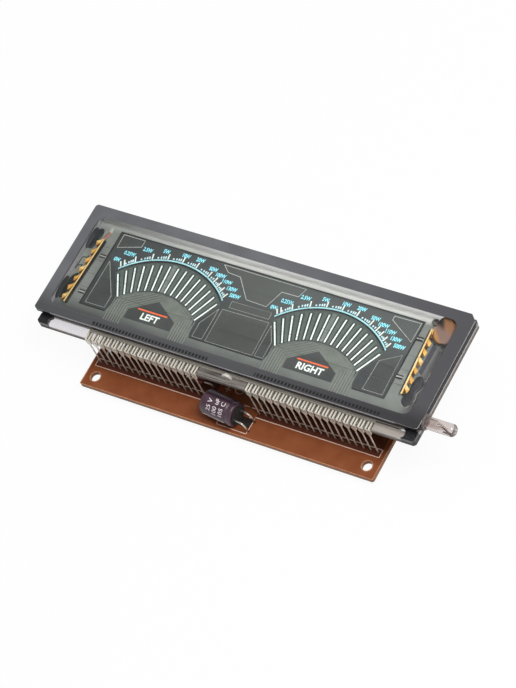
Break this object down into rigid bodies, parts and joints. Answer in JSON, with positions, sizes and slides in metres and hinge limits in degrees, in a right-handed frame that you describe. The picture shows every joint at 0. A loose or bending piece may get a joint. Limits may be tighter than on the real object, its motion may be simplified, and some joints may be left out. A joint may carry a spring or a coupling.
{
  "type": "vacuum fluorescent level meter",
  "caption": "Flat glass vacuum fluorescent display with twin fan-shaped level scales, clipped by rows of fork leads to a phenolic driver board with corner fixing holes.",
  "frame": {"origin": "centre of the four board fixing holes, on the underside of the board", "axes": "+X along the display to its exhaust tube, +Y towards the top of the scales, +Z out of the display face"},
  "size_m": [0.1531, 0.0552, 0.0209],
  "materials": {
    "phenolic_board": "satin brown paper laminate",
    "clear_glass": "polished",
    "tube_glass": "fire polished",
    "frit": "matte",
    "pale_frit": "frosted",
    "mask_ink": "matte",
    "black_resin": "satin",
    "pale_print": "matte",
    "dark_print": "matte",
    "wiring_print": "fine lines",
    "white_phosphor": "matte",
    "cyan_phosphor": "matte",
    "gold_metal": "satin",
    "filament_metal": "drawn",
    "tab_metal": "bright",
    "graphite_paste": "matte",
    "getter_metal": "fired",
    "lead_metal": "tinned",
    "solder": "bright",
    "can_sleeve": "glossy",
    "bung_rubber": "matte",
    "tinned_wire": "tinned",
    "diode_glass": "polished",
    "blue_lacquer": "lacquered",
    "socket_nylon": "satin",
    "chip_epoxy": "matte",
    "chip_ceramic": "satin"
  },
  "bodies": {
    "root": {"circuit_board": "phenolic_board", "rear_glass": "clear_glass", "front_side_wall": "clear_glass", "back_side_wall": "clear_glass", "left_side_wall": "clear_glass", "right_side_wall": "clear_glass", "lower_frit_seal": "frit", "upper_frit_seal": "frit", "cover_glass": "clear_glass", "mask_print": "mask_ink", "exhaust_tube": "tube_glass", "exhaust_sleeve": "pale_frit", "ledge_end_pads": "black_resin", "ledge_bead": "pale_frit", "base_print": "pale_print", "dark_panel": "dark_print", "wiring_fields": "wiring_print", "blank_shields": "dark_print", "left_meter_bars": "white_phosphor", "right_meter_bars": "white_phosphor", "left_scale": "cyan_phosphor", "right_scale": "cyan_phosphor", "left_filament_support": "gold_metal", "right_filament_support": "gold_metal", "filament_wires": "filament_metal", "grid_tabs": "tab_metal", "paste_pads": "graphite_paste", "getter_cup": "getter_metal", "left_lead_bank": "lead_metal", "right_lead_bank": "lead_metal", "lead_solder": "solder", "capacitor_can": "can_sleeve", "capacitor_bung": "bung_rubber", "capacitor_leads": "tinned_wire", "diode_body": "diode_glass", "diode_leads": "tinned_wire", "resistor_bodies": "blue_lacquer", "resistor_leads": "tinned_wire", "input_socket": "socket_nylon", "socket_contacts": "tinned_wire", "driver_chip": "chip_epoxy", "driver_pins_row": "tinned_wire", "controller_chip": "chip_epoxy", "controller_pins_row": "tinned_wire", "chip_resistors": "chip_ceramic", "chip_resistor_ends": "tinned_wire"}
  },
  "joints": []
}
